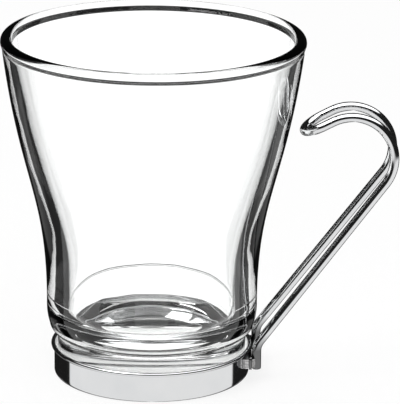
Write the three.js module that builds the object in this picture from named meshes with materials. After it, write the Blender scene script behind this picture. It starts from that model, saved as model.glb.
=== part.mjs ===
// A cappuccino mug: a flared glass bonded into a shallow polished steel base cup, with a hairpin
// wire handle welded to the cup through a small flat plate.
// Millimetres, +Z up. The origin is on the glass's axis, on the table. The handle points along +X.

import * as THREE from 'three';

// Glass
const MUG_HEIGHT = 97.0;
const RIM_RADIUS = 42.0;
const RIM_BEAD_RADIUS = 1.6;
const RIM_OVERHANG = 0.35;
const BODY_RADIUS = 29.38;
const WALL_AT_RIM = 2.8;
const WALL_AT_HEEL = 6.0;
const FLARE_LOWER_HANDLE = 32.1;
const FLARE_UPPER_HANDLE = 38.7;
const FLARE_TOP_SLOPE = 0.124;
const BORE_LOWER_HANDLE = 24.7;
const BORE_UPPER_HANDLE = 37.1;
const BORE_TOP_SLOPE = 0.148;
const CREASE_HEIGHT = 20.4;
const CREASE_DEPTH = 0.15;
const CREASE_WIDTH = 0.6;
const HEEL_BULGE_DROP = 2.9;
const HEEL_TAPER = 0.78;
const HEEL_UNDERSIDE = 14.1;
const HEEL_EDGE_SETBACK = 0.9;
const NECK_TOP = 12.2;
const GLASS_FLOOR = 13.9;
const FLOOR_FILLET = 7.7;
const FOOT_EDGE = 1.0;
const PUNT_RADIUS = 17.0;
const PUNT_DEPTH = 1.6;

// Steel base cup
const STEEL = 0.6;
const BAND_RADIUS = 27.3;
const BAND_HEIGHT = 8.8;
const BAND_EDGE_RADIUS = 0.9;
const LIP_RADIUS = 0.6;
const LIP_REACH = 0.85;

// Sealant between the glass and the cup
const FOOT_CLEARANCE = 0.4;
const PAD_MARGIN = 1.0;
const PAD_GAP = 0.2;
const BEAD_CLEARANCE = 0.05;
const BEAD_BOTTOM = 2.0;
const BEAD_TOP = 7.6;

// Wire handle, drawn in the XZ plane, with its two strands side by side in Y
const WIRE_DIAMETER = 2.6;
const LEG_SPACING = 16.3;
const NOSE_SPACING = 11.6;
const LEG_END = 3.5;
const CORNER_HEIGHT = 10.4;
const CORNER_BEND = 5.0;
const ARCH_HEIGHT = 64.1;
const ARCH_BEND = 11.7;
const NOSE_FALL = THREE.MathUtils.degToRad(27.5);
const NOSE_STRAIGHT = 2.8;
const NOSE_GAP = 2.9;

// Plate and welds that hold the handle to the cup
const PLATE_THICKNESS = 0.8;
const PLATE_MARGIN = 0.5;
const PLATE_BOTTOM = 3.5;
const PLATE_CORNER = 0.8;
const LIP_GAP = 0.3;
const WELD_GAP = 0.05;
const SEAM_ROOT = 4.2;
const SEAM_BULGE = 0.3;
const SEAM_INSET = 0.3;
const LEG_WELD_LENGTH = 2.6;
const LEG_WELD_LIFT = 0.6;
const LEG_WELD_REACH = 0.6;
const LEG_WELD_WRAP = THREE.MathUtils.degToRad(104);

// Facets
const ROUND_SEGMENTS = 48;
const WALL_STEPS = 12;
const WALL_SAMPLES = 96;
const ARC_STEPS = 6;
const FOOT_STEPS = 3;
const BAND_EDGE_STEPS = 4;
const LIP_STEPS = 9;
const CURL_STEPS = 4;
const CUP_CORNER_STEPS = 2;
const PLATE_CORNER_STEPS = 4;
const WIRE_SIDES = 12;
const WIRE_STEPS = 108;

const point = (r, z) => new THREE.Vector2(r, z);

// Points on a circle about (r, z), from one angle to another
function arc(r, z, radius, from, to, steps = ARC_STEPS) {
  const points = [];
  for (let i = 0; i <= steps; i++) {
    const angle = from + ((to - from) * i) / steps;
    points.push(point(r + radius * Math.cos(angle), z + radius * Math.sin(angle)));
  }
  return points;
}

// A solid of revolution about Z, with a flat facet square to +X
function turned(profile) {
  const lathe = new THREE.LatheGeometry(profile, ROUND_SEGMENTS, Math.PI / ROUND_SEGMENTS);
  return lathe.rotateX(Math.PI / 2);
}

const FACET = Math.cos(Math.PI / ROUND_SEGMENTS);

// Glass

const footBottom = STEEL;
const footRadius = BAND_RADIUS - STEEL - FOOT_CLEARANCE;
const footFlatEnd = footRadius - FOOT_EDGE;
const beadRadius = RIM_RADIUS - RIM_BEAD_RADIUS;
const beadHeight = MUG_HEIGHT - RIM_BEAD_RADIUS;

// Height at which a wall of this radius runs into the underside of the rim bead
function underBead(radius) {
  const offset = radius - beadRadius;
  return beadHeight - Math.sqrt(RIM_BEAD_RADIUS ** 2 - offset ** 2);
}

// One side of the flared wall: upright at the bottom, leaning out at the top
function flare(bottomRadius, bottomHeight, topRadius, lowerHandle, upperHandle, topSlope) {
  const topHeight = underBead(topRadius);
  return new THREE.CubicBezierCurve(
    point(bottomRadius, bottomHeight),
    point(bottomRadius, bottomHeight + lowerHandle),
    point(topRadius - topSlope * upperHandle, topHeight - upperHandle),
    point(topRadius, topHeight),
  );
}

const wallTopRadius = RIM_RADIUS - RIM_OVERHANG;
const boreTopRadius = wallTopRadius - WALL_AT_RIM;
const boreRadius = BODY_RADIUS - WALL_AT_HEEL;
const outerWall = flare(
  BODY_RADIUS,
  CREASE_HEIGHT + CREASE_WIDTH / 2,
  wallTopRadius,
  FLARE_LOWER_HANDLE,
  FLARE_UPPER_HANDLE,
  FLARE_TOP_SLOPE,
);
const innerWall = flare(
  boreRadius,
  GLASS_FLOOR + FLOOR_FILLET,
  boreTopRadius,
  BORE_LOWER_HANDLE,
  BORE_UPPER_HANDLE,
  BORE_TOP_SLOPE,
);

function glassProfile() {
  const punt = [];
  for (let i = 0; i < ARC_STEPS; i++) {
    const share = i / ARC_STEPS;
    punt.push(point(PUNT_RADIUS * share, footBottom + PUNT_DEPTH * (1 - share ** 2)));
  }
  const footEdge = arc(footFlatEnd, footBottom + FOOT_EDGE, FOOT_EDGE, -Math.PI / 2, 0, FOOT_STEPS);
  const heelEdgeRadius = BODY_RADIUS - HEEL_TAPER;
  const heelEdge = new THREE.QuadraticBezierCurve(
    point(heelEdgeRadius - HEEL_EDGE_SETBACK, HEEL_UNDERSIDE - HEEL_EDGE_SETBACK),
    point(heelEdgeRadius, HEEL_UNDERSIDE),
    point(heelEdgeRadius, HEEL_UNDERSIDE + HEEL_EDGE_SETBACK),
  );
  const heelTop = CREASE_HEIGHT - CREASE_WIDTH / 2;
  const heelSide = new THREE.QuadraticBezierCurve(
    point(heelEdgeRadius, HEEL_UNDERSIDE + HEEL_EDGE_SETBACK),
    point(BODY_RADIUS, heelTop - HEEL_BULGE_DROP),
    point(BODY_RADIUS, heelTop),
  );
  const rim = arc(
    beadRadius,
    beadHeight,
    RIM_BEAD_RADIUS,
    -Math.acos((wallTopRadius - beadRadius) / RIM_BEAD_RADIUS),
    2 * Math.PI - Math.acos((boreTopRadius - beadRadius) / RIM_BEAD_RADIUS),
    2 * ARC_STEPS,
  );
  const floorFillet = arc(
    boreRadius - FLOOR_FILLET,
    GLASS_FLOOR + FLOOR_FILLET,
    FLOOR_FILLET,
    0,
    -Math.PI / 2,
  );
  return [
    ...punt,
    point(PUNT_RADIUS, footBottom),
    ...footEdge,
    point(footRadius, NECK_TOP),
    ...heelEdge.getPoints(ARC_STEPS / 2),
    ...heelSide.getPoints(ARC_STEPS / 2).slice(1),
    point(BODY_RADIUS - CREASE_DEPTH, CREASE_HEIGHT),
    ...outerWall.getPoints(WALL_STEPS),
    ...rim.slice(1),
    ...innerWall.getPoints(WALL_STEPS).reverse().slice(1),
    ...floorFillet.slice(1),
    point(0, GLASS_FLOOR),
  ];
}

const clearGlass = new THREE.MeshStandardMaterial({
  name: 'clear glass',
  color: 0xf4f8f7,
  roughness: 0.02,
  metalness: 0,
  transparent: true,
  opacity: 0.35,
});
const glass = new THREE.Mesh(turned(glassProfile()), clearGlass);
glass.name = 'glass';

// Steel base cup: a drawn cup with a flat floor and its top edge curled outwards

const polishedSteel = new THREE.MeshStandardMaterial({
  name: 'polished steel',
  color: 0xc9cbcc,
  roughness: 0.12,
  metalness: 1,
});

const cupBore = BAND_RADIUS - STEEL;
const lipRadius = BAND_RADIUS + LIP_REACH - LIP_RADIUS;
const lipHeight = BAND_HEIGHT - LIP_RADIUS;

function baseCupProfile() {
  const wallTurn = Math.acos((BAND_RADIUS - lipRadius) / LIP_RADIUS);
  const innerRoll = lipRadius - cupBore;
  const innerCorner = BAND_EDGE_RADIUS - STEEL;
  const outerEdge = arc(
    BAND_RADIUS - BAND_EDGE_RADIUS,
    BAND_EDGE_RADIUS,
    BAND_EDGE_RADIUS,
    -Math.PI / 2,
    0,
    BAND_EDGE_STEPS,
  );
  const curl = arc(
    lipRadius,
    BAND_HEIGHT - innerRoll,
    innerRoll,
    Math.PI / 2,
    Math.PI,
    CURL_STEPS,
  );
  const floorCorner = arc(
    cupBore - innerCorner,
    STEEL + innerCorner,
    innerCorner,
    0,
    -Math.PI / 2,
    CUP_CORNER_STEPS,
  );
  return [
    point(0, 0),
    ...outerEdge,
    ...arc(lipRadius, lipHeight, LIP_RADIUS, -wallTurn, Math.PI / 2, LIP_STEPS),
    ...curl.slice(1),
    ...floorCorner,
    point(0, STEEL),
  ];
}

const baseCup = new THREE.Mesh(turned(baseCupProfile()), polishedSteel);
baseCup.name = 'base_cup';

// Sealant: a domed pad under the punt of the foot, and a bead in the gap round the foot

const milkySealant = new THREE.MeshStandardMaterial({
  name: 'milky sealant',
  color: 0xe6e6e3,
  roughness: 0.45,
  metalness: 0,
});

const padRadius = PUNT_RADIUS - PAD_MARGIN;
const padHeight = PUNT_DEPTH - PAD_GAP;
const padProfile = [point(0, STEEL)];
for (let i = ARC_STEPS; i >= 0; i--) {
  const share = i / ARC_STEPS;
  padProfile.push(point(padRadius * share, STEEL + padHeight * (1 - share ** 2)));
}
const bondPad = new THREE.Mesh(turned(padProfile), milkySealant);
bondPad.name = 'bond_pad';

const beadInner = footRadius + BEAD_CLEARANCE;
const beadOuter = cupBore - BEAD_CLEARANCE;
const beadProfile = [
  point(beadInner, BEAD_BOTTOM),
  point(beadOuter, BEAD_BOTTOM),
  point(beadOuter, BEAD_TOP),
  point(beadInner, BEAD_TOP),
  point(beadInner, BEAD_BOTTOM),
];
const bondBead = new THREE.Mesh(turned(beadProfile), milkySealant);
bondBead.name = 'bond_bead';

// Handle plate: a flat steel tab, square to +X, against the cup's wall below its curled lip

const wireRadius = WIRE_DIAMETER / 2;
const legOffset = LEG_SPACING / 2;
const noseOffset = NOSE_SPACING / 2;
const plateInner = BAND_RADIUS * FACET;
const plateOuter = plateInner + PLATE_THICKNESS;
const plateHalfWidth = legOffset + wireRadius + PLATE_MARGIN;
const plateTop = lipHeight - LIP_RADIUS - LIP_GAP;
const plateHeight = plateTop - PLATE_BOTTOM;

// A rectangle with rounded corners, standing on its lower edge
function roundedRectangle(halfWidth, height, corner) {
  const shape = new THREE.Shape();
  shape.moveTo(corner - halfWidth, 0);
  shape.lineTo(halfWidth - corner, 0);
  shape.absarc(halfWidth - corner, corner, corner, -Math.PI / 2, 0);
  shape.absarc(halfWidth - corner, height - corner, corner, 0, Math.PI / 2);
  shape.absarc(corner - halfWidth, height - corner, corner, Math.PI / 2, Math.PI);
  shape.absarc(corner - halfWidth, corner, corner, Math.PI, 1.5 * Math.PI);
  return shape;
}

const plateGeometry = new THREE.ExtrudeGeometry(
  roundedRectangle(plateHalfWidth, plateHeight, PLATE_CORNER),
  { depth: PLATE_THICKNESS, bevelEnabled: false, curveSegments: PLATE_CORNER_STEPS },
);
// The outline's width turns to Y, its height to Z and the extrusion to X
plateGeometry.rotateX(Math.PI / 2);
plateGeometry.rotateZ(Math.PI / 2);
const handlePlate = new THREE.Mesh(plateGeometry, polishedSteel);
handlePlate.name = 'handle_plate';
handlePlate.position.set(plateInner, 0, PLATE_BOTTOM);

// Handle wire: two legs, two straight strands, two arches and the closed nose that joins them

// A round bend in the plane of two unit vectors
class Bend extends THREE.Curve {
  constructor(centre, across, along, radius, from, to) {
    super();
    Object.assign(this, { centre, across, along, radius, from, to });
  }

  getPoint(t, target = new THREE.Vector3()) {
    const angle = this.from + (this.to - this.from) * t;
    return target
      .copy(this.centre)
      .addScaledVector(this.across, this.radius * Math.cos(angle))
      .addScaledVector(this.along, this.radius * Math.sin(angle));
  }
}

// Outer radius of the glass's wall at a height
function wallRadiusAt(height) {
  const points = outerWall.getPoints(WALL_SAMPLES);
  const above = points.findIndex((p) => p.y >= height);
  const low = points[above - 1];
  const high = points[above];
  return low.x + ((high.x - low.x) * (height - low.y)) / (high.y - low.y);
}

const legX = plateOuter + wireRadius;
const noseLength = NOSE_STRAIGHT + noseOffset;
const archEndRise = ARCH_BEND * Math.cos(NOSE_FALL);
const noseTipHeight = ARCH_HEIGHT + archEndRise - noseLength * Math.sin(NOSE_FALL);
const noseTipX = wallRadiusAt(noseTipHeight) + NOSE_GAP + wireRadius;
const archX = noseTipX + noseLength * Math.cos(NOSE_FALL) + ARCH_BEND * Math.sin(NOSE_FALL);

// Slope of the straight strand that runs from the leg's corner to touch the arch's circle
const cornerToArch = Math.hypot(archX - legX, ARCH_HEIGHT - CORNER_HEIGHT);
const strandSlope =
  Math.atan2(ARCH_HEIGHT - CORNER_HEIGHT, archX - legX) - Math.asin(ARCH_BEND / cornerToArch);
const cornerTurn = Math.PI / 2 - strandSlope;
const cornerStart = CORNER_HEIGHT - CORNER_BEND * Math.tan(cornerTurn / 2);
const noseEndHeight = ARCH_HEIGHT + archEndRise - NOSE_STRAIGHT * Math.sin(NOSE_FALL);

// Half of the distance between the strands, which close in from the legs to the nose
function strandOffset(height) {
  const share = (height - cornerStart) / (noseEndHeight - cornerStart);
  return THREE.MathUtils.lerp(legOffset, noseOffset, THREE.MathUtils.clamp(share, 0, 1));
}

// A curve of the XZ plane, moved out to one strand's place in Y
class StrandCurve extends THREE.Curve {
  constructor(flat, side) {
    super();
    Object.assign(this, { flat, side });
  }

  getPoint(t, target = new THREE.Vector3()) {
    this.flat.getPoint(t, target);
    return target.setY(this.side * strandOffset(target.z));
  }
}

// The same curve run the other way
class Reversed extends THREE.Curve {
  constructor(curve) {
    super();
    this.curve = curve;
  }

  getPoint(t, target = new THREE.Vector3()) {
    return this.curve.getPoint(1 - t, target);
  }
}

// One strand, from its foot to the start of the nose's bend
function strandCurves(side) {
  const at = (x, z) => new THREE.Vector3(x, 0, z);
  const out = new THREE.Vector3(1, 0, 0);
  const up = new THREE.Vector3(0, 0, 1);
  const corner = new Bend(
    at(legX + CORNER_BEND, cornerStart), out, up, CORNER_BEND, Math.PI, Math.PI - cornerTurn,
  );
  const arch = new Bend(
    at(archX, ARCH_HEIGHT), out, up, ARCH_BEND, strandSlope - Math.PI / 2, Math.PI / 2 + NOSE_FALL,
  );
  const noseStart = arch.getPoint(1);
  const noseEnd = at(noseStart.x - NOSE_STRAIGHT * Math.cos(NOSE_FALL), noseEndHeight);
  const curves = [
    new THREE.LineCurve3(at(legX, LEG_END), at(legX, cornerStart)),
    corner,
    new THREE.LineCurve3(corner.getPoint(1), arch.getPoint(0)),
    arch,
    new THREE.LineCurve3(noseStart, noseEnd),
  ];
  return curves.map((curve) => new StrandCurve(curve, side));
}

function handlePath() {
  const front = strandCurves(-1);
  const rear = strandCurves(1);
  const noseCentre = front.at(-1).getPoint(1).setY(0);
  const towardsGlass = new THREE.Vector3(-Math.cos(NOSE_FALL), 0, -Math.sin(NOSE_FALL));
  const nose = new Bend(
    noseCentre, towardsGlass, new THREE.Vector3(0, 1, 0), noseOffset, -Math.PI / 2, Math.PI / 2,
  );
  const path = new THREE.CurvePath();
  path.curves = [...front, nose, ...rear.reverse().map((curve) => new Reversed(curve))];
  return path;
}

// The wire's section has a flat on the side that lies against the plate
function wireSection() {
  const cornerRadius = wireRadius / Math.cos(Math.PI / WIRE_SIDES);
  const corners = [];
  for (let i = 0; i < WIRE_SIDES; i++) {
    const angle = (2 * Math.PI * (i + 0.5)) / WIRE_SIDES;
    corners.push(point(cornerRadius * Math.cos(angle), cornerRadius * Math.sin(angle)));
  }
  return new THREE.Shape(corners);
}

const handleWire = new THREE.Mesh(
  new THREE.ExtrudeGeometry(wireSection(), { steps: WIRE_STEPS, extrudePath: handlePath() }),
  polishedSteel,
);
handleWire.name = 'handle_wire';

// Welds, made for the +Y side and mirrored to the -Y side

const weldMetal = new THREE.MeshStandardMaterial({
  name: 'weld metal',
  color: 0xa9abad,
  roughness: 0.35,
  metalness: 1,
});

// A weld bead: an outline in X and Y on one side of the plate, drawn up in Z
function weldBead(name, outline, side, bottom, length) {
  const corners = outline.map((p) => point(p.x, side * p.y));
  const geometry = new THREE.ExtrudeGeometry(new THREE.Shape(corners), {
    depth: length,
    bevelEnabled: false,
  });
  const bead = new THREE.Mesh(geometry, weldMetal);
  bead.name = name;
  bead.position.z = bottom;
  return bead;
}

// Seam in the wedge between the flat plate and the round wall of the cup
function seamOutline() {
  const wallRadius = BAND_RADIUS + WELD_GAP;
  const onWall = (y) => point(Math.sqrt(wallRadius ** 2 - y ** 2), y);
  const plateFace = plateInner - WELD_GAP;
  const end = onWall(plateHalfWidth);
  return [
    point(plateFace, SEAM_ROOT),
    point(plateFace, plateHalfWidth),
    point((plateFace + end.x) / 2, plateHalfWidth + SEAM_BULGE),
    end,
    onWall((plateHalfWidth + SEAM_ROOT) / 2),
    onWall(SEAM_ROOT),
  ];
}

// Fillet between a leg and the plate, on the leg's outer side
function legWeldOutline() {
  const plateFace = plateOuter + WELD_GAP;
  const legRadius = wireRadius / Math.cos(Math.PI / WIRE_SIDES) + WELD_GAP;
  const rootAngle = Math.acos((legX - plateFace) / legRadius);
  const outline = arc(
    legX, legOffset, legRadius, Math.PI - rootAngle, LEG_WELD_WRAP, ARC_STEPS / 2,
  );
  outline.push(point(plateFace, legOffset + legRadius + LEG_WELD_REACH));
  return outline;
}

const seamLength = plateHeight - 2 * SEAM_INSET;
const welds = [];
for (const [side, place] of [[-1, 'front'], [1, 'rear']]) {
  const seamBottom = PLATE_BOTTOM + SEAM_INSET;
  const legWeldBottom = PLATE_BOTTOM + LEG_WELD_LIFT;
  welds.push(weldBead(`plate_weld_${place}`, seamOutline(), side, seamBottom, seamLength));
  welds.push(weldBead(`leg_weld_${place}`, legWeldOutline(), side, legWeldBottom, LEG_WELD_LENGTH));
}

// Assembly

const handle = new THREE.Group();
handle.add(handlePlate, handleWire, ...welds);

const mug = new THREE.Group();
mug.name = 'cappuccino_mug';
mug.add(glass, bondPad, bondBead, baseCup, handle);

export default mug;
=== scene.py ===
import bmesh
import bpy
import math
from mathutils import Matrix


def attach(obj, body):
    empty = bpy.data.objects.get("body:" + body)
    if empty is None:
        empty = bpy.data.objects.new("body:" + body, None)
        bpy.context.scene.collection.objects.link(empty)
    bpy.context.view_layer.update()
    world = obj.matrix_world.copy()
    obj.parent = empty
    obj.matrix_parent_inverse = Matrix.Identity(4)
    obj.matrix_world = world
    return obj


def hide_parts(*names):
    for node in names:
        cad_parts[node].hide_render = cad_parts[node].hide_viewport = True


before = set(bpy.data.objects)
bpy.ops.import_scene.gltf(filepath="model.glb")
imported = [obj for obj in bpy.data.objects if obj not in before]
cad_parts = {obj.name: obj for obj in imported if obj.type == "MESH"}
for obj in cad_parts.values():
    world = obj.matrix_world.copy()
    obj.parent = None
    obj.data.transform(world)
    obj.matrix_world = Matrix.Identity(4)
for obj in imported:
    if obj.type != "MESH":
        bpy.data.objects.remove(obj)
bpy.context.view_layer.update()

# Base cup: a shallow round pan of thin stainless steel that the glass stands in.
# It is drawn from sheet in a press, its top edge is curled outwards into a small lip,
# and the outside is polished until it mirrors the table.

MM = 0.001
STEEL = 0.6 * MM
BAND_RADIUS = 27.3 * MM
BAND_HEIGHT = 8.8 * MM
BAND_EDGE_RADIUS = 0.9 * MM
LIP_RADIUS = 0.6 * MM
LIP_REACH = 0.85 * MM
CUP_SEGMENTS = 192
FLOOR_STEPS = 12
BEND_STEPS = 12
LIP_STEPS = 24
WALL_STEPS = 8
CORNER_STEPS = 6
STEEL_SHARP = 50

STEEL_DULL = (0.80, 0.81, 0.82, 1.0)
STEEL_BRIGHT = (0.86, 0.865, 0.87, 1.0)
STEEL_ROUGHNESS = (0.05, 0.09)
SMEAR_SCALE = 90.0
SMEAR_DETAIL = 4.0
GRAIN_DETAIL = 2.0
GRAIN_HEIGHT = 0.02 * MM
SHEET_GRAIN = 0.03
BAND_STRETCH = (60.0, 60.0, 9000.0)
NOISE_LOW = 0.3
NOISE_HIGH = 0.7


def arc(radius_at, height_at, bend, start, stop, steps):
    """Points on a circle about (radius_at, height_at), from one angle to another."""
    points = []
    for step in range(steps + 1):
        angle = start + (stop - start) * step / steps
        points.append((radius_at + bend * math.cos(angle), height_at + bend * math.sin(angle)))
    return points


def line(first, last, steps):
    """Points on a straight line, without its first point."""
    points = []
    for step in range(1, steps + 1):
        share = step / steps
        points.append(tuple(a + (b - a) * share for a, b in zip(first, last)))
    return points


def new_piece(name, bm, material, sharp_angle):
    """A smooth-shaded piece on the mug's one body, which takes the finish of a material slot."""
    bmesh.ops.recalc_face_normals(bm, faces=bm.faces)
    mesh = bpy.data.meshes.new(name)
    bm.to_mesh(mesh)
    bm.free()
    for face in mesh.polygons:
        face.use_smooth = True
    mesh.set_sharp_from_angle(angle=math.radians(sharp_angle))
    mesh.materials.append(material)
    piece = bpy.data.objects.new(name, mesh)
    bpy.context.scene.collection.objects.link(piece)
    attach(piece, "root")
    return piece


def skin(bm, rings):
    """Joins each ring of points to the next with quads, or with triangles at a single point."""
    for lower, upper in zip(rings, rings[1:]):
        for step in range(len(lower)):
            beside = (step + 1) % len(lower)
            corners = [lower[step], lower[beside], upper[beside], upper[step]]
            bm.faces.new(dict.fromkeys(corners))


def turned(profile, segments, closed=False):
    """A solid of revolution about Z. A point on the axis becomes one vertex."""
    bm = bmesh.new()
    rings = []
    for radius, height in profile:
        if radius == 0.0:
            rings.append([bm.verts.new((0.0, 0.0, height))] * segments)
            continue
        ring = []
        for step in range(segments):
            angle = math.tau * step / segments
            ring.append(bm.verts.new((radius * math.cos(angle), radius * math.sin(angle), height)))
        rings.append(ring)
    if closed:
        rings.append(rings[0])
    skin(bm, rings)
    return bm


def put(tree, kind, inputs=None, **settings):
    """A shader node. Each input is a value, or the output of another node."""
    node = tree.nodes.new(kind)
    for name, value in settings.items():
        setattr(node, name, value)
    for name, value in (inputs or {}).items():
        if isinstance(value, bpy.types.NodeSocket):
            tree.links.new(value, node.inputs[name])
        else:
            node.inputs[name].default_value = value
    return node


def new_material(name):
    """A material with its tree, its Principled shader and the place on the object."""
    material = bpy.data.materials.new(name)
    material.use_nodes = True
    tree = material.node_tree
    shader = tree.nodes["Principled BSDF"]
    place = put(tree, "ShaderNodeTexCoord").outputs["Object"]
    return material, tree, shader, place


def clouds(tree, place, scale, detail):
    """Cloudy noise of a scale, in cycles to the metre, and a fineness."""
    inputs = {"Vector": place, "Scale": scale, "Detail": detail}
    return put(tree, "ShaderNodeTexNoise", inputs).outputs["Fac"]


def coloured(tree, shader, noise, dark, light, low=0.0, high=1.0):
    """Colours the surface from a darker to a lighter tone, as the noise goes from low to high."""
    tones = put(tree, "ShaderNodeValToRGB", {"Fac": noise})
    first, last = tones.color_ramp.elements
    first.position = low
    first.color = dark
    last.position = high
    last.color = light
    tree.links.new(tones.outputs["Color"], shader.inputs["Base Color"])


def roughened(tree, shader, noise, low, high):
    """Lets the roughness follow the usual range of the noise, from low to high."""
    inputs = {
        "Value": noise,
        "From Min": NOISE_LOW,
        "From Max": NOISE_HIGH,
        "To Min": low,
        "To Max": high,
    }
    roughness = put(tree, "ShaderNodeMapRange", inputs).outputs["Result"]
    tree.links.new(roughness, shader.inputs["Roughness"])


def rippled(tree, shader, noise, strength, distance):
    """Tilts the surface as if the noise were its relief."""
    relief = {"Strength": strength, "Distance": distance, "Height": noise}
    bump = put(tree, "ShaderNodeBump", relief)
    tree.links.new(bump.outputs["Normal"], shader.inputs["Normal"])


def steel_material(name, grain_stretch, grain_depth):
    """Polished stainless steel: faint smears in its gloss and a hair-fine polishing grain."""
    material, tree, shader, place = new_material(name)
    shader.inputs["Metallic"].default_value = 1.0
    smears = clouds(tree, place, SMEAR_SCALE, SMEAR_DETAIL)
    coloured(tree, shader, smears, STEEL_DULL, STEEL_BRIGHT, NOISE_LOW, NOISE_HIGH)
    roughened(tree, shader, smears, *STEEL_ROUGHNESS)
    along = put(tree, "ShaderNodeMapping", {"Vector": place, "Scale": grain_stretch})
    grain = clouds(tree, along.outputs["Vector"], 1.0, GRAIN_DETAIL)
    rippled(tree, shader, grain, grain_depth, GRAIN_HEIGHT)
    return material


cup_bore = BAND_RADIUS - STEEL
cup_flat_end = BAND_RADIUS - BAND_EDGE_RADIUS
lip_centre = BAND_RADIUS + LIP_REACH - LIP_RADIUS
lip_height = BAND_HEIGHT - LIP_RADIUS
lip_start = -math.acos((BAND_RADIUS - lip_centre) / LIP_RADIUS)
inner_roll = lip_centre - cup_bore
inner_corner = BAND_EDGE_RADIUS - STEEL
quarter = math.pi / 2

cup_profile = [(0.0, 0.0)]
cup_profile += line((0.0, 0.0), (cup_flat_end, 0.0), FLOOR_STEPS)[:-1]
cup_profile += arc(cup_flat_end, BAND_EDGE_RADIUS, BAND_EDGE_RADIUS, -quarter, 0.0, BEND_STEPS)
lip = arc(lip_centre, lip_height, LIP_RADIUS, lip_start, quarter, LIP_STEPS)
cup_profile += line(cup_profile[-1], lip[0], WALL_STEPS)[:-1] + lip
lip_roll = arc(lip_centre, BAND_HEIGHT - inner_roll, inner_roll, quarter, math.pi, BEND_STEPS)
cup_profile += lip_roll[1:]
corner_radius = cup_bore - inner_corner
corner_height = STEEL + inner_corner
floor_corner = arc(corner_radius, corner_height, inner_corner, 0.0, -quarter, CORNER_STEPS)
cup_profile += line(cup_profile[-1], floor_corner[0], WALL_STEPS)[:-1] + floor_corner
cup_profile += line(floor_corner[-1], (0.0, STEEL), FLOOR_STEPS)

band_steel = steel_material("band_steel", BAND_STRETCH, SHEET_GRAIN)
cup_mesh = turned(cup_profile, CUP_SEGMENTS)
base_cup = new_piece("base_cup", cup_mesh, band_steel, STEEL_SHARP)
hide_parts("base_cup")

# Bond pad: a low dome of milky sealant in the middle of the cup's floor, under the hollow of the
# glass's foot. It is laid in wet, and the foot of the glass is pressed down on it until it sets.

PUNT_RADIUS = 17.0 * MM
PUNT_DEPTH = 1.6 * MM
PAD_MARGIN = 1.0 * MM
PAD_GAP = 0.2 * MM
PAD_LIFT = 0.02 * MM
PAD_STEPS = 24
SEALANT_SEGMENTS = 96
SEALANT_SHARP = 60

SEALANT_DULL = (0.84, 0.85, 0.84, 1.0)
SEALANT_PALE = (0.93, 0.93, 0.92, 1.0)
SEALANT_ROUGHNESS = (0.4, 0.6)
SEALANT_IOR = 1.41
SEALANT_GLOW = 0.3
MILK_SCALE = 220.0
MILK_DETAIL = 3.0
WHITE = (1.0, 1.0, 1.0, 1.0)

pad_radius = PUNT_RADIUS - PAD_MARGIN
pad_height = PUNT_DEPTH - PAD_GAP
pad_profile = [(0.0, STEEL + PAD_LIFT)]
for step in range(PAD_STEPS, -1, -1):
    share = step / PAD_STEPS
    pad_profile.append((pad_radius * share, STEEL + PAD_LIFT + pad_height * (1 - share ** 2)))

milky_sealant, tree, shader, place = new_material("milky_sealant")
milk = clouds(tree, place, MILK_SCALE, MILK_DETAIL)
coloured(tree, shader, milk, SEALANT_DULL, SEALANT_PALE)
roughened(tree, shader, milk, *SEALANT_ROUGHNESS)
shader.inputs["IOR"].default_value = SEALANT_IOR
# The base of the glass gathers light on the sealant, and a faint glow stands for that light
shader.inputs["Emission Color"].default_value = WHITE
shader.inputs["Emission Strength"].default_value = SEALANT_GLOW
pad_mesh = turned(pad_profile, SEALANT_SEGMENTS)
bond_pad = new_piece("bond_pad", pad_mesh, milky_sealant, SEALANT_SHARP)
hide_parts("bond_pad")

# Bond bead: a thin ring of the same milky sealant that fills the gap between the wall of the cup
# and the foot of the glass, squeezed up there when the glass is pressed down.

FOOT_CLEARANCE = 0.4 * MM
BEAD_GAP = 0.05 * MM
BEAD_BOTTOM = 2.0 * MM
BEAD_TOP = 7.6 * MM
BEAD_BRIM_STEPS = 10
BEAD_SIDE_STEPS = 6

foot_radius = cup_bore - FOOT_CLEARANCE
bead_outer = cup_bore - BEAD_GAP
bead_inner = foot_radius + BEAD_GAP
bead_swell = (bead_outer - bead_inner) / 2
brim_height = BEAD_TOP - bead_swell
bead_brim = arc(bead_outer - bead_swell, brim_height, bead_swell, 0.0, math.pi, BEAD_BRIM_STEPS)
bead_profile = [(bead_inner, BEAD_BOTTOM), (bead_outer, BEAD_BOTTOM)]
bead_profile += line(bead_profile[-1], bead_brim[0], BEAD_SIDE_STEPS)[:-1] + bead_brim
bead_profile += line(bead_brim[-1], bead_profile[0], BEAD_SIDE_STEPS)[:-1]
bead_mesh = turned(bead_profile, SEALANT_SEGMENTS, closed=True)
bond_bead = new_piece("bond_bead", bead_mesh, milky_sealant, SEALANT_SHARP)
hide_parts("bond_bead")

# Glass: a flared tumbler of clear soda-lime glass with a beaded rim, a thick floor, and a foot
# that goes down into the base cup below a rounded heel. It is pressed in a mould, so its walls
# have faint ripples, and the rim is melted round with a flame.

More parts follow.
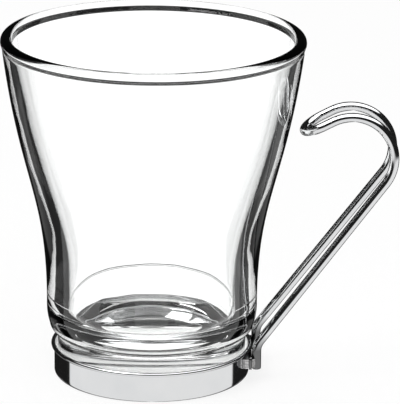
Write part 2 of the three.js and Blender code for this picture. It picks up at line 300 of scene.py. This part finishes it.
MUG_HEIGHT = 97.0 * MM
RIM_RADIUS = 42.0 * MM
RIM_BEAD_RADIUS = 1.6 * MM
RIM_OVERHANG = 0.35 * MM
BODY_RADIUS = 29.38 * MM
WALL_AT_RIM = 2.8 * MM
WALL_AT_HEEL = 6.0 * MM
FLARE_LOWER_HANDLE = 32.1 * MM
FLARE_UPPER_HANDLE = 38.7 * MM
FLARE_TOP_SLOPE = 0.124
BORE_LOWER_HANDLE = 24.7 * MM
BORE_UPPER_HANDLE = 37.1 * MM
BORE_TOP_SLOPE = 0.148
CREASE_HEIGHT = 20.4 * MM
CREASE_DEPTH = 0.15 * MM
CREASE_WIDTH = 0.6 * MM
HEEL_BULGE_DROP = 2.9 * MM
HEEL_TAPER = 0.78 * MM
HEEL_UNDERSIDE = 14.1 * MM
HEEL_EDGE_SETBACK = 0.9 * MM
NECK_TOP = 12.2 * MM
GLASS_FLOOR = 13.9 * MM
FLOOR_FILLET = 7.7 * MM
FOOT_EDGE = 1.0 * MM
FOOT_LIFT = 0.03 * MM
GLASS_SEGMENTS = 192
FLARE_STEPS = 96
RIM_STEPS = 48
FILLET_STEPS = 32
PUNT_STEPS = 16
GLASS_FLOOR_STEPS = 16
HEEL_SIDE_STEPS = 16
HEEL_EDGE_STEPS = 12
FOOT_EDGE_STEPS = 12
NECK_STEPS = 12
CREASE_STEPS = 8
FOOT_FLAT_STEPS = 6
HEEL_UNDERSIDE_STEPS = 6
GLASS_SHARP = 40

GLASS_TINT = (0.985, 0.995, 0.992, 1.0)
GLASS_IOR = 1.51
MOULD_RIPPLE_SCALE = 45.0
MOULD_RIPPLE_DETAIL = 2.0
MOULD_RIPPLE_STRENGTH = 0.25
MOULD_RIPPLE_HEIGHT = 0.4 * MM


def bezier(controls, steps):
    """Points along a Bezier curve with any number of control points, both ends included."""
    points = []
    for step in range(steps + 1):
        share = step / steps
        level = controls
        while len(level) > 1:
            level = [
                tuple(a + (b - a) * share for a, b in zip(first, second))
                for first, second in zip(level, level[1:])
            ]
        points.append(level[0])
    return points


rim_middle = RIM_RADIUS - RIM_BEAD_RADIUS
rim_height = MUG_HEIGHT - RIM_BEAD_RADIUS


def under_rim(radius):
    """Height at which a wall of this radius runs into the underside of the rim's bead."""
    return rim_height - math.sqrt(RIM_BEAD_RADIUS ** 2 - (radius - rim_middle) ** 2)


def flare(bottom_radius, bottom_height, top_radius, lower_handle, upper_handle, top_slope):
    """One side of the flared wall: upright at the bottom, leaning out at the top."""
    bottom = (bottom_radius, bottom_height)
    top = (top_radius, under_rim(top_radius))
    waist = (bottom_radius, bottom_height + lower_handle)
    shoulder = (top_radius - top_slope * upper_handle, top[1] - upper_handle)
    return bezier([bottom, waist, shoulder, top], FLARE_STEPS)


wall_top_radius = RIM_RADIUS - RIM_OVERHANG
bore_top_radius = wall_top_radius - WALL_AT_RIM
bore_radius = BODY_RADIUS - WALL_AT_HEEL
heel_edge_radius = BODY_RADIUS - HEEL_TAPER
heel_top = CREASE_HEIGHT - CREASE_WIDTH / 2
flare_shape = (FLARE_LOWER_HANDLE, FLARE_UPPER_HANDLE, FLARE_TOP_SLOPE)
bore_shape = (BORE_LOWER_HANDLE, BORE_UPPER_HANDLE, BORE_TOP_SLOPE)
outer_wall = flare(BODY_RADIUS, CREASE_HEIGHT + CREASE_WIDTH / 2, wall_top_radius, *flare_shape)
inner_wall = flare(bore_radius, GLASS_FLOOR + FLOOR_FILLET, bore_top_radius, *bore_shape)

foot_bottom = STEEL + FOOT_LIFT
foot_flat_end = foot_radius - FOOT_EDGE
glass_profile = []
for step in range(PUNT_STEPS):
    share = step / PUNT_STEPS
    glass_profile.append((PUNT_RADIUS * share, foot_bottom + PUNT_DEPTH * (1 - share ** 2)))
glass_profile.append((PUNT_RADIUS, foot_bottom))
foot_edge = arc(foot_flat_end, foot_bottom + FOOT_EDGE, FOOT_EDGE, -quarter, 0.0, FOOT_EDGE_STEPS)
glass_profile += line(glass_profile[-1], foot_edge[0], FOOT_FLAT_STEPS)[:-1] + foot_edge
glass_profile += line(glass_profile[-1], (foot_radius, NECK_TOP), NECK_STEPS)
heel_edge = bezier(
    [
        (heel_edge_radius - HEEL_EDGE_SETBACK, HEEL_UNDERSIDE - HEEL_EDGE_SETBACK),
        (heel_edge_radius, HEEL_UNDERSIDE),
        (heel_edge_radius, HEEL_UNDERSIDE + HEEL_EDGE_SETBACK),
    ],
    HEEL_EDGE_STEPS,
)
glass_profile += line(glass_profile[-1], heel_edge[0], HEEL_UNDERSIDE_STEPS)[:-1] + heel_edge
heel_bulge = (BODY_RADIUS, heel_top - HEEL_BULGE_DROP)
heel_side = bezier([heel_edge[-1], heel_bulge, (BODY_RADIUS, heel_top)], HEEL_SIDE_STEPS)
glass_profile += heel_side[1:]
crease = [heel_side[-1], (BODY_RADIUS - 2 * CREASE_DEPTH, CREASE_HEIGHT), outer_wall[0]]
glass_profile += bezier(crease, CREASE_STEPS)[1:-1]
glass_profile += outer_wall
rim_start = -math.acos((wall_top_radius - rim_middle) / RIM_BEAD_RADIUS)
rim_stop = math.tau - math.acos((bore_top_radius - rim_middle) / RIM_BEAD_RADIUS)
glass_profile += arc(rim_middle, rim_height, RIM_BEAD_RADIUS, rim_start, rim_stop, RIM_STEPS)[1:]
glass_profile += inner_wall[::-1][1:]
fillet_radius = bore_radius - FLOOR_FILLET
fillet_height = GLASS_FLOOR + FLOOR_FILLET
floor_fillet = arc(fillet_radius, fillet_height, FLOOR_FILLET, 0.0, -quarter, FILLET_STEPS)
glass_profile += floor_fillet[1:]
glass_profile += line(floor_fillet[-1], (0.0, GLASS_FLOOR), GLASS_FLOOR_STEPS)

clear_glass, tree, shader, place = new_material("clear_glass")
ripples = clouds(tree, place, MOULD_RIPPLE_SCALE, MOULD_RIPPLE_DETAIL)
coloured(tree, shader, ripples, GLASS_TINT, WHITE)
rippled(tree, shader, ripples, MOULD_RIPPLE_STRENGTH, MOULD_RIPPLE_HEIGHT)
shader.inputs["Roughness"].default_value = 0.0
shader.inputs["Transmission Weight"].default_value = 1.0
shader.inputs["IOR"].default_value = GLASS_IOR
glass_mesh = turned(glass_profile, GLASS_SEGMENTS)
glass = new_piece("glass", glass_mesh, clear_glass, GLASS_SHARP)
glass.visible_shadow = False
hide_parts("glass")

# Handle plate: a small flat tab with rounded corners, cut from stainless steel sheet.
# It lies against the wall of the base cup, below the lip, and is welded there along both sides.
# The two legs of the handle are welded to its face. The steel here and on the lower wire is made
# darker towards the bottom, by height alone.

CAD_FACETS = 48
WIRE_RADIUS = 1.3 * MM
LEG_OFFSET = 8.15 * MM
PLATE_THICKNESS = 0.8 * MM
PLATE_MARGIN = 0.5 * MM
PLATE_BOTTOM = 3.5 * MM
PLATE_CORNER = 0.8 * MM
PLATE_CORNER_STEPS = 8
PLATE_EDGE = 0.12 * MM
PLATE_EDGE_STEPS = 3
PLATE_EDGE_ANGLE = math.radians(60)
PLATE_SHARP = 40
LIP_GAP = 0.3 * MM

PLATE_STRETCH = (60.0, 5000.0, 60.0)
DARKEST_BELOW = 9.0 * MM
FULL_TONE_ABOVE = 14.0 * MM
LOW_TONE_SHARE = 0.2

plate_inner = BAND_RADIUS * math.cos(math.pi / CAD_FACETS)
plate_outer = plate_inner + PLATE_THICKNESS
plate_half_width = LEG_OFFSET + WIRE_RADIUS + PLATE_MARGIN
plate_top = lip_height - LIP_RADIUS - LIP_GAP
across = plate_half_width - PLATE_CORNER
lower_corner = PLATE_BOTTOM + PLATE_CORNER
upper_corner = plate_top - PLATE_CORNER
plate_corners = [
    (across, lower_corner),
    (across, upper_corner),
    (-across, upper_corner),
    (-across, lower_corner),
]
plate_outline = []
for turns, (y, z) in enumerate(plate_corners):
    start = (turns - 1) * quarter
    plate_outline += arc(y, z, PLATE_CORNER, start, turns * quarter, PLATE_CORNER_STEPS)


def darker_towards_bottom(material):
    """Steel made darker towards the bottom: darkest below one height, full tone above another."""
    tree = material.node_tree
    shader = tree.nodes["Principled BSDF"]
    place = tree.nodes["Texture Coordinate"].outputs["Object"]
    heights = {
        "Value": put(tree, "ShaderNodeSeparateXYZ", {"Vector": place}).outputs["Z"],
        "From Min": DARKEST_BELOW,
        "From Max": FULL_TONE_ABOVE,
        "To Min": LOW_TONE_SHARE,
    }
    share = put(tree, "ShaderNodeMapRange", heights).outputs["Result"]
    polished = shader.inputs["Base Color"].links[0].from_socket
    # The Mix node numbers its sockets for colours: two go in and one comes out
    first_colour, second_colour, mixed_colour = 6, 7, 2
    tones = {"Factor": 1.0, first_colour: polished, second_colour: share}
    lowered_tone = put(tree, "ShaderNodeMix", tones, data_type="RGBA", blend_type="MULTIPLY")
    tree.links.new(lowered_tone.outputs[mixed_colour], shader.inputs["Base Color"])


bm = bmesh.new()
face = bm.faces.new([bm.verts.new((plate_inner, y, z)) for y, z in plate_outline])
pulled = bmesh.ops.extrude_face_region(bm, geom=[face])
pulled_corners = [part for part in pulled["geom"] if isinstance(part, bmesh.types.BMVert)]
bmesh.ops.translate(bm, verts=pulled_corners, vec=(PLATE_THICKNESS, 0.0, 0.0))
bmesh.ops.recalc_face_normals(bm, faces=bm.faces)
plate_rims = [edge for edge in bm.edges if edge.calc_face_angle(0.0) > PLATE_EDGE_ANGLE]
bmesh.ops.bevel(
    bm,
    geom=plate_rims,
    offset=PLATE_EDGE,
    segments=PLATE_EDGE_STEPS,
    profile=0.5,
    affect="EDGES",
)
plate_steel = steel_material("plate_steel", PLATE_STRETCH, SHEET_GRAIN)
# The plate's steel is made darker towards the bottom, by height.
darker_towards_bottom(plate_steel)
handle_plate = new_piece("handle_plate", bm, plate_steel, PLATE_SHARP)
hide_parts("handle_plate")

# Handle wire: one hairpin of round stainless wire, bent double so that its two strands run side
# by side. Each strand has an upright leg, a straight rise and an arch, and a closed nose joins
# the two arches in front of the glass. The wire is bent cold and polished.

from mathutils import Vector

NOSE_OFFSET = 5.8 * MM
LEG_END = 3.5 * MM
CORNER_HEIGHT = 10.4 * MM
CORNER_BEND = 5.0 * MM
ARCH_HEIGHT = 64.1 * MM
ARCH_BEND = 11.7 * MM
NOSE_FALL = math.radians(27.5)
NOSE_STRAIGHT = 2.8 * MM
NOSE_GAP = 2.9 * MM
LEG_END_ROUND = 0.35 * MM
WIRE_SIDES = 32
LEG_STEPS = 12
LEG_BEND_STEPS = 16
RISE_STEPS = 40
ARCH_STEPS = 72
NOSE_STRAIGHT_STEPS = 3
NOSE_BEND_STEPS = 40
LEG_END_STEPS = 6

WIRE_STRETCH = (900.0, 900.0, 120.0)
WIRE_GRAIN = 0.004

leg_x = plate_outer + WIRE_RADIUS
fall_x, fall_z = math.cos(NOSE_FALL), math.sin(NOSE_FALL)
nose_length = NOSE_STRAIGHT + NOSE_OFFSET
nose_tip_height = ARCH_HEIGHT + ARCH_BEND * fall_x - nose_length * fall_z
wall_there = min(outer_wall, key=lambda spot: abs(spot[1] - nose_tip_height))[0]
nose_tip_x = wall_there + NOSE_GAP + WIRE_RADIUS
arch_x = nose_tip_x + nose_length * fall_x + ARCH_BEND * fall_z
run, rise = arch_x - leg_x, ARCH_HEIGHT - CORNER_HEIGHT
strand_slope = math.atan2(rise, run) - math.asin(ARCH_BEND / math.hypot(run, rise))
corner_turn = quarter - strand_slope
bend_start = CORNER_HEIGHT - CORNER_BEND * math.tan(corner_turn / 2)

bend_stop = math.pi - corner_turn
leg_foot = (leg_x, LEG_END)
leg_bend = arc(leg_x + CORNER_BEND, bend_start, CORNER_BEND, math.pi, bend_stop, LEG_BEND_STEPS)
arch_start = strand_slope - quarter
arch = arc(arch_x, ARCH_HEIGHT, ARCH_BEND, arch_start, quarter + NOSE_FALL, ARCH_STEPS)
nose_start = arch[-1]
nose_end = (nose_start[0] - NOSE_STRAIGHT * fall_x, nose_start[1] - NOSE_STRAIGHT * fall_z)
strand = [leg_foot] + line(leg_foot, leg_bend[0], LEG_STEPS)[:-1] + leg_bend
strand += line(strand[-1], arch[0], RISE_STEPS)[:-1] + arch
strand += line(nose_start, nose_end, NOSE_STRAIGHT_STEPS)


def strand_offset(height):
    """Half of the distance between the strands, which close in from the legs to the nose."""
    share = (height - bend_start) / (nose_end[1] - bend_start)
    return LEG_OFFSET + (NOSE_OFFSET - LEG_OFFSET) * min(max(share, 0.0), 1.0)


wire_path = [(x, -strand_offset(z), z) for x, z in strand]
for step in range(1, NOSE_BEND_STEPS):
    angle = math.pi * step / NOSE_BEND_STEPS - quarter
    reach = NOSE_OFFSET * math.cos(angle)
    aside = NOSE_OFFSET * math.sin(angle)
    wire_path.append((nose_end[0] - reach * fall_x, aside, nose_end[1] - reach * fall_z))
wire_path += [(x, strand_offset(z), z) for x, z in reversed(strand)]


def swept_wire(path, radius, sides, end_round):
    """A round wire along a path, carried without twist, with its two cut ends rounded over."""
    points = [Vector(spot) for spot in path]
    side = Vector((0.0, 1.0, 0.0))
    stations = []
    for step, spot in enumerate(points):
        before = points[max(step - 1, 0)]
        after = points[min(step + 1, len(points) - 1)]
        along = (after - before).normalized()
        side = (side - along * side.dot(along)).normalized()
        stations.append((spot, along, side, radius))

    def end_ring(station, inward, angle):
        """One ring of the rounding at a cut end."""
        spot, along, side, _ = station
        shift = inward * end_round * (1 - math.sin(angle))
        return spot + along * shift, along, side, radius - end_round * (1 - math.cos(angle))

    turns = [quarter * step / LEG_END_STEPS for step in range(1, LEG_END_STEPS + 1)]
    first_end = [end_ring(stations[0], 1.0, angle) for angle in reversed(turns)]
    last_end = [end_ring(stations[-1], -1.0, angle) for angle in turns]
    bm = bmesh.new()
    rings = []
    for spot, along, side, reach in first_end + stations[1:-1] + last_end:
        other = along.cross(side)
        ring = []
        for step in range(sides):
            angle = math.tau * step / sides
            out = side * math.cos(angle) + other * math.sin(angle)
            ring.append(bm.verts.new(spot + out * reach))
        rings.append(ring)
    skin(bm, rings)
    bm.faces.new(rings[0])
    bm.faces.new(rings[-1])
    return bm


wire_steel = steel_material("wire_steel", WIRE_STRETCH, WIRE_GRAIN)
# The wire's steel is made darker towards the bottom, by height.
darker_towards_bottom(wire_steel)
wire_mesh = swept_wire(wire_path, WIRE_RADIUS, WIRE_SIDES, LEG_END_ROUND)
handle_wire = new_piece("handle_wire", wire_mesh, wire_steel, STEEL_SHARP)
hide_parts("handle_wire")

# Welds: short rippled beads of weld metal that join the steel pieces, left dull from the heat.
# Two fill the wedges between the flat plate and the round cup, and two join the legs to the plate.

WELD_GAP = 0.05 * MM
SEAM_ROOT = 4.2 * MM
SEAM_BULGE = 0.3 * MM
SEAM_INSET = 0.3 * MM
SEAM_FACE_STEPS = 6
SEAM_ROUND_STEPS = 8
LEG_WELD_LENGTH = 2.6 * MM
LEG_WELD_LIFT = 0.6 * MM
LEG_WELD_REACH = 0.6 * MM
LEG_WELD_END = math.radians(104)
LEG_WELD_ROUND_STEPS = 8
LEG_WELD_SIDE_STEPS = 6
LEG_WELD_FACE_STEPS = 4
WELD_RIPPLE_LENGTH = 0.45 * MM
WELD_RIPPLE_SHARE = 0.08
WELD_LEVELS = 48
WELD_END_SHARE = 0.55
WELD_END_SWELL = 6
WELD_SHARP = 60

WELD_DARK = (0.46, 0.45, 0.44, 1.0)
WELD_LIGHT = (0.68, 0.68, 0.69, 1.0)
WELD_ROUGHNESS = (0.22, 0.42)
HEAT_MARK_SCALE = 900.0
HEAT_MARK_DETAIL = 5.0


def on_cup(y):
    """The point of the cup's outside at this Y, a weld gap off the wall."""
    return (math.sqrt((BAND_RADIUS + WELD_GAP) ** 2 - y ** 2), y)


seam_face = plate_inner - WELD_GAP
seam_root = (seam_face, SEAM_ROOT)
seam_brow = (seam_face, plate_half_width)
seam_end = on_cup(plate_half_width)
seam_crown = ((seam_face + seam_end[0]) / 2, plate_half_width + SEAM_BULGE)
seam_outline = [seam_root]
seam_outline += line(seam_root, seam_brow, SEAM_FACE_STEPS)
seam_outline += bezier([seam_brow, seam_crown, seam_end], SEAM_ROUND_STEPS)[1:]
seam_depth = SEAM_ROOT - plate_half_width
for step in range(1, SEAM_ROUND_STEPS + 1):
    seam_outline.append(on_cup(plate_half_width + seam_depth * step / SEAM_ROUND_STEPS))

leg_face = plate_outer + WELD_GAP
leg_reach = WIRE_RADIUS + WELD_GAP
leg_root = math.pi - math.acos((leg_x - leg_face) / leg_reach)
leg_outline = arc(leg_x, LEG_OFFSET, leg_reach, leg_root, LEG_WELD_END, LEG_WELD_ROUND_STEPS)
leg_toe = (leg_face, LEG_OFFSET + leg_reach + LEG_WELD_REACH)
leg_outline += line(leg_outline[-1], leg_toe, LEG_WELD_SIDE_STEPS)
leg_outline += line(leg_toe, leg_outline[0], LEG_WELD_FACE_STEPS)[:-1]


def weld_bead(outline, side, bottom, length):
    """A bead drawn up in Z, swelling and sinking in the small ripples that a weld sets in."""
    bm = bmesh.new()
    middle_x = sum(x for x, y in outline) / len(outline)
    middle_y = sum(y for x, y in outline) / len(outline)
    rings = []
    for level in range(WELD_LEVELS + 1):
        share = level / WELD_LEVELS
        wave = math.cos(math.tau * share * length / WELD_RIPPLE_LENGTH)
        swell = 1 - WELD_RIPPLE_SHARE * (1 + wave) / 2
        ends = min(1.0, WELD_END_SHARE + WELD_END_SWELL * min(share, 1 - share))
        ring = []
        for x, y in outline:
            near_x = middle_x + (x - middle_x) * swell * ends
            near_y = middle_y + (y - middle_y) * swell * ends
            ring.append(bm.verts.new((near_x, side * near_y, bottom + length * share)))
        rings.append(ring)
    skin(bm, rings)
    bm.faces.new(rings[0])
    bm.faces.new(rings[-1])
    return bm


weld_metal, tree, shader, place = new_material("weld_metal")
heat_marks = clouds(tree, place, HEAT_MARK_SCALE, HEAT_MARK_DETAIL)
coloured(tree, shader, heat_marks, WELD_DARK, WELD_LIGHT, NOISE_LOW, NOISE_HIGH)
roughened(tree, shader, heat_marks, *WELD_ROUGHNESS)
shader.inputs["Metallic"].default_value = 1.0

seam_length = plate_top - PLATE_BOTTOM - 2 * SEAM_INSET
for place_name, side in (("front", -1), ("rear", 1)):
    seam = weld_bead(seam_outline, side, PLATE_BOTTOM + SEAM_INSET, seam_length)
    plate_weld = new_piece("plate_weld_" + place_name, seam, weld_metal, WELD_SHARP)
    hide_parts("plate_weld_" + place_name)
    fillet = weld_bead(leg_outline, side, PLATE_BOTTOM + LEG_WELD_LIFT, LEG_WELD_LENGTH)
    leg_weld = new_piece("leg_weld_" + place_name, fillet, weld_metal, WELD_SHARP)
    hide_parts("leg_weld_" + place_name)

# Table: a wide, plain white table top that the mug stands on.
# Seen by the camera it is white, and it keeps the mug's soft shadow.

TABLE_REACH = 4.0
TABLE_SEGMENTS = 96
TABLE_WHITE = (0.92, 0.92, 0.92, 1.0)
TABLE_GLOW = 0.8

bm = bmesh.new()
bmesh.ops.create_circle(bm, cap_ends=True, radius=TABLE_REACH, segments=TABLE_SEGMENTS)
table_mesh = bpy.data.meshes.new("table")
bm.to_mesh(table_mesh)
bm.free()
white_table = bpy.data.materials.new("white_table")
white_table.use_nodes = True
tree = white_table.node_tree
tree.nodes.remove(tree.nodes["Principled BSDF"])
matt = put(tree, "ShaderNodeBsdfDiffuse", {"Color": TABLE_WHITE})
glow = put(tree, "ShaderNodeEmission", {"Color": WHITE, "Strength": 1.0})
camera_sees = put(tree, "ShaderNodeLightPath").outputs["Is Camera Ray"]
glow_share = put(tree, "ShaderNodeMath", {0: camera_sees, 1: TABLE_GLOW}, operation="MULTIPLY")
layers = {0: glow_share.outputs[0], 1: matt.outputs[0], 2: glow.outputs[0]}
table_top = put(tree, "ShaderNodeMixShader", layers)
tree.links.new(table_top.outputs[0], tree.nodes["Material Output"].inputs["Surface"])
table_mesh.materials.append(white_table)
table = bpy.data.objects.new("table", table_mesh)
bpy.context.scene.collection.objects.link(table)
table.visible_glossy = False
table.visible_transmission = False

# Studio: a white table in a dark room, with a wide soft box overhead and black cards on the table
# beside the backdrop, as glassware is lit. Clear glass and polished steel show only what is
# round them, so the dark room and the cards draw their edges.

ROOM_LIGHT = 0.85
DARK = 0.012

world = bpy.data.worlds.new("studio")
bpy.context.scene.world = world
world.use_nodes = True
tree = world.node_tree
background = tree.nodes["Background"]
background.inputs["Color"].default_value = WHITE
toward = put(tree, "ShaderNodeTexCoord").outputs["Generated"]
axes = put(tree, "ShaderNodeSeparateXYZ", {"Vector": toward})
height = axes.outputs["Z"]
seen_by = put(tree, "ShaderNodeLightPath")
turned_back = seen_by.outputs["Glossy Depth"]


def reckon(operation, first, second=0.0):
    """The output of one step of arithmetic."""
    return put(tree, "ShaderNodeMath", {0: first, 1: second}, operation=operation).outputs[0]


def product(*factors):
    """The product of several outputs."""
    total = factors[0]
    for factor in factors[1:]:
        total = reckon("MULTIPLY", total, factor)
    return total


def ramp(value, low, high, from_level, to_level):
    """A value that goes from one level to another between low and high, and stays there."""
    inputs = {
        "Value": value,
        "From Min": low,
        "From Max": high,
        "To Min": from_level,
        "To Max": to_level,
    }
    node = put(tree, "ShaderNodeMapRange", inputs, interpolation_type="SMOOTHSTEP")
    return node.outputs["Result"]


def past(count, number, up_to, beyond):
    """One level while a count is no more than a whole number, and another beyond it."""
    return ramp(count, number + 0.4, number + 0.6, up_to, beyond)


turn = reckon("ABSOLUTE", reckon("ARCTAN2", axes.outputs["X"], axes.outputs["Y"]))

# Seen through the glass: a white backdrop behind the mug and one at each side, with black cards
# between them. The cards show only in light that was turned back inside the wall.
CARD_SPACING = math.radians(45.0)
CARD_START = math.radians(21.0)
CARD_BLUR = 0.01
CARD_GREY = 0.09
CARD_GREY_WIDTH = math.radians(2.5)
CARD_GREY_BLUR = 0.02
CARD_TOP = (-0.22, -0.17)
RIGHT_CARD = 0.05
RIGHT_CARD_START = (0.05, 0.2)
TABLE_SEEN = 1.2
TABLE_FAR_EDGE = -0.19
TABLE_SIDE_EDGE = 0.1
TABLE_EDGE_TURN = (math.radians(25), math.radians(40))
TABLE_EDGE_BLUR = 0.02
BOX_SEEN = 2.6
BOX_HEIGHT = (0.62, 0.72)
BOX_START = (-0.12, -0.08)
BOX_END = (0.3, 0.5)
off_backdrop = reckon("PINGPONG", turn, CARD_SPACING)
off_card = reckon("SUBTRACT", off_backdrop, CARD_START)
grey_card = ramp(off_card, 0.0, CARD_BLUR, 1.0, CARD_GREY)
black_start = (CARD_GREY_WIDTH, CARD_GREY_WIDTH + CARD_GREY_BLUR)
black_card = ramp(off_card, *black_start, 1.0, DARK / CARD_GREY)
straight = past(turned_back, 0, 1.0, 0.0)
cards = reckon("MAXIMUM", product(grey_card, black_card), straight)
card_top = ramp(height, *CARD_TOP, 0.0, 1.0)
right_card = ramp(axes.outputs["X"], *RIGHT_CARD_START, 0.0, RIGHT_CARD)
cards = reckon("MAXIMUM", cards, reckon("MAXIMUM", card_top, right_card))
table_edge = ramp(turn, *TABLE_EDGE_TURN, TABLE_FAR_EDGE, TABLE_SIDE_EDGE)
over_edge = reckon("SUBTRACT", height, table_edge)
table_part = ramp(over_edge, -TABLE_EDGE_BLUR, TABLE_EDGE_BLUR, 1.0, 0.0)
table_seen = product(table_part, cards, TABLE_SEEN)
box_start = ramp(axes.outputs["Y"], *BOX_START, 0.0, 1.0)
box_end = ramp(axes.outputs["Y"], *BOX_END, 1.0, 0.0)
box_seen = product(ramp(height, *BOX_HEIGHT, 0.0, BOX_SEEN), box_start, box_end)

# Light that was turned back inside the glass again and again comes out dimmer
TURNED_LOSS = 0.8
crossed = past(seen_by.outputs["Transmission Depth"], 2, 0.0, 1.0)
across_loss = product(crossed, past(turned_back, 1, 0.0, TURNED_LOSS))
wall_loss = past(turned_back, 2, 0.0, TURNED_LOSS)
kept_share = reckon("SUBTRACT", 1.0, reckon("MAXIMUM", across_loss, wall_loss))
table_kept = product(table_seen, kept_share)
through_glass = reckon("ADD", reckon("ADD", table_kept, box_seen), DARK)

# Mirrored in the steel and the glass: one wide card at each side of the backdrop, with a grey foot
MIRROR_START = math.radians(5.0)
MIRROR_STOP = math.radians(66.0)
MIRROR_BLUR = 0.05
MIRROR_SIDE = 0.85
MIRROR_TABLE_EDGE = (-0.26, -0.15)
MIRROR_GREY = 0.2
MIRROR_GREY_TOP = (-0.38, -0.36)
MIRROR_GREY_START = (math.radians(20), math.radians(24))
MIRROR_GREY_STOP = (math.radians(46), math.radians(52))
MIRROR_BOX = 1.8
MIRROR_BOX_HEIGHT = (0.6, 0.7)
mirror_in = ramp(turn, MIRROR_START, MIRROR_START + MIRROR_BLUR, 1.0, 0.0)
mirror_out = ramp(turn, MIRROR_STOP, MIRROR_STOP + MIRROR_BLUR, 0.0, MIRROR_SIDE)
mirror_table = ramp(height, *MIRROR_TABLE_EDGE, 1.0, 0.0)
mirror_box = product(ramp(height, *MIRROR_BOX_HEIGHT, 0.0, MIRROR_BOX), box_end)
grey_start = ramp(turn, *MIRROR_GREY_START, 0.0, 1.0)
grey_stop = ramp(turn, *MIRROR_GREY_STOP, 1.0, 0.0)
mirror_grey = product(ramp(height, *MIRROR_GREY_TOP, MIRROR_GREY, 0.0), grey_start, grey_stop)
mirror_cards = reckon("MAXIMUM", mirror_grey, reckon("MAXIMUM", mirror_in, mirror_out))
mirror_low = product(mirror_cards, mirror_table)
in_mirror = reckon("ADD", reckon("ADD", mirror_low, mirror_box), DARK)

# The camera sees plain white. Light through the glass and light off a mirror see the two pictures
# above, and the light that falls on dull surfaces comes from an even, pale room.
to_camera = seen_by.outputs["Is Camera Ray"]
passed = seen_by.outputs["Is Transmission Ray"]
glossy = seen_by.outputs["Is Glossy Ray"]
mirrored = product(glossy, reckon("SUBTRACT", 1.0, passed))
glass_part = product(passed, through_glass)
mirror_part = product(mirrored, in_mirror)
shown = reckon("ADD", to_camera, reckon("ADD", glass_part, mirror_part))
any_shown = reckon("ADD", reckon("ADD", to_camera, passed), glossy)
any_shown = reckon("MINIMUM", any_shown, 1.0)
room = product(reckon("SUBTRACT", 1.0, any_shown), ROOM_LIGHT)
tree.links.new(reckon("ADD", shown, room), background.inputs["Strength"])

# Key lamp: one large square soft box, above the table and to the left.
# It gives the mug its soft shadow on the table.

KEY_PLACE = Vector((-0.5, -0.4, 0.9))
KEY_AIM = Vector((0.0, 0.0, 0.05))
KEY_WIDTH = 0.6
KEY_POWER = 4.0

key_lamp = bpy.data.lights.new("key_soft_box", "AREA")
key_lamp.size = KEY_WIDTH
key_lamp.energy = KEY_POWER
key_soft_box = bpy.data.objects.new("key_soft_box", key_lamp)
key_soft_box.location = KEY_PLACE
key_soft_box.rotation_mode = "QUATERNION"
key_soft_box.rotation_quaternion = (KEY_AIM - KEY_PLACE).to_track_quat("-Z", "Y")
bpy.context.scene.collection.objects.link(key_soft_box)

# Camera: a long lens in front of the mug, a little above it, at the photograph's angle.
# It is rolled a little to one side, as the photograph is.

CAMERA_TARGET = (0.01315, 0.0, 0.04939)
CAMERA_DISTANCE = 1.0
CAMERA_ELEVATION = math.radians(17.14)
CAMERA_ROLL = math.radians(0.6)
CAMERA_LENS = 324.5
CAMERA_SENSOR = 36.0
CAMERA_NEAR = 0.01
CAMERA_FAR = 20.0

camera_data = bpy.data.cameras.new("camera")
camera_data.sensor_fit = "HORIZONTAL"
camera_data.sensor_width = CAMERA_SENSOR
camera_data.lens = CAMERA_LENS
camera_data.clip_start = CAMERA_NEAR
camera_data.clip_end = CAMERA_FAR
camera = bpy.data.objects.new("camera", camera_data)
camera.location = (
    CAMERA_TARGET[0],
    CAMERA_TARGET[1] - CAMERA_DISTANCE * math.cos(CAMERA_ELEVATION),
    CAMERA_TARGET[2] + CAMERA_DISTANCE * math.sin(CAMERA_ELEVATION),
)
camera.rotation_euler = (quarter - CAMERA_ELEVATION, 0.0, 0.0)
camera.rotation_euler.rotate_axis("Z", CAMERA_ROLL)
bpy.context.scene.collection.objects.link(camera)
bpy.context.scene.camera = camera
bpy.context.scene.view_settings.view_transform = "Standard"
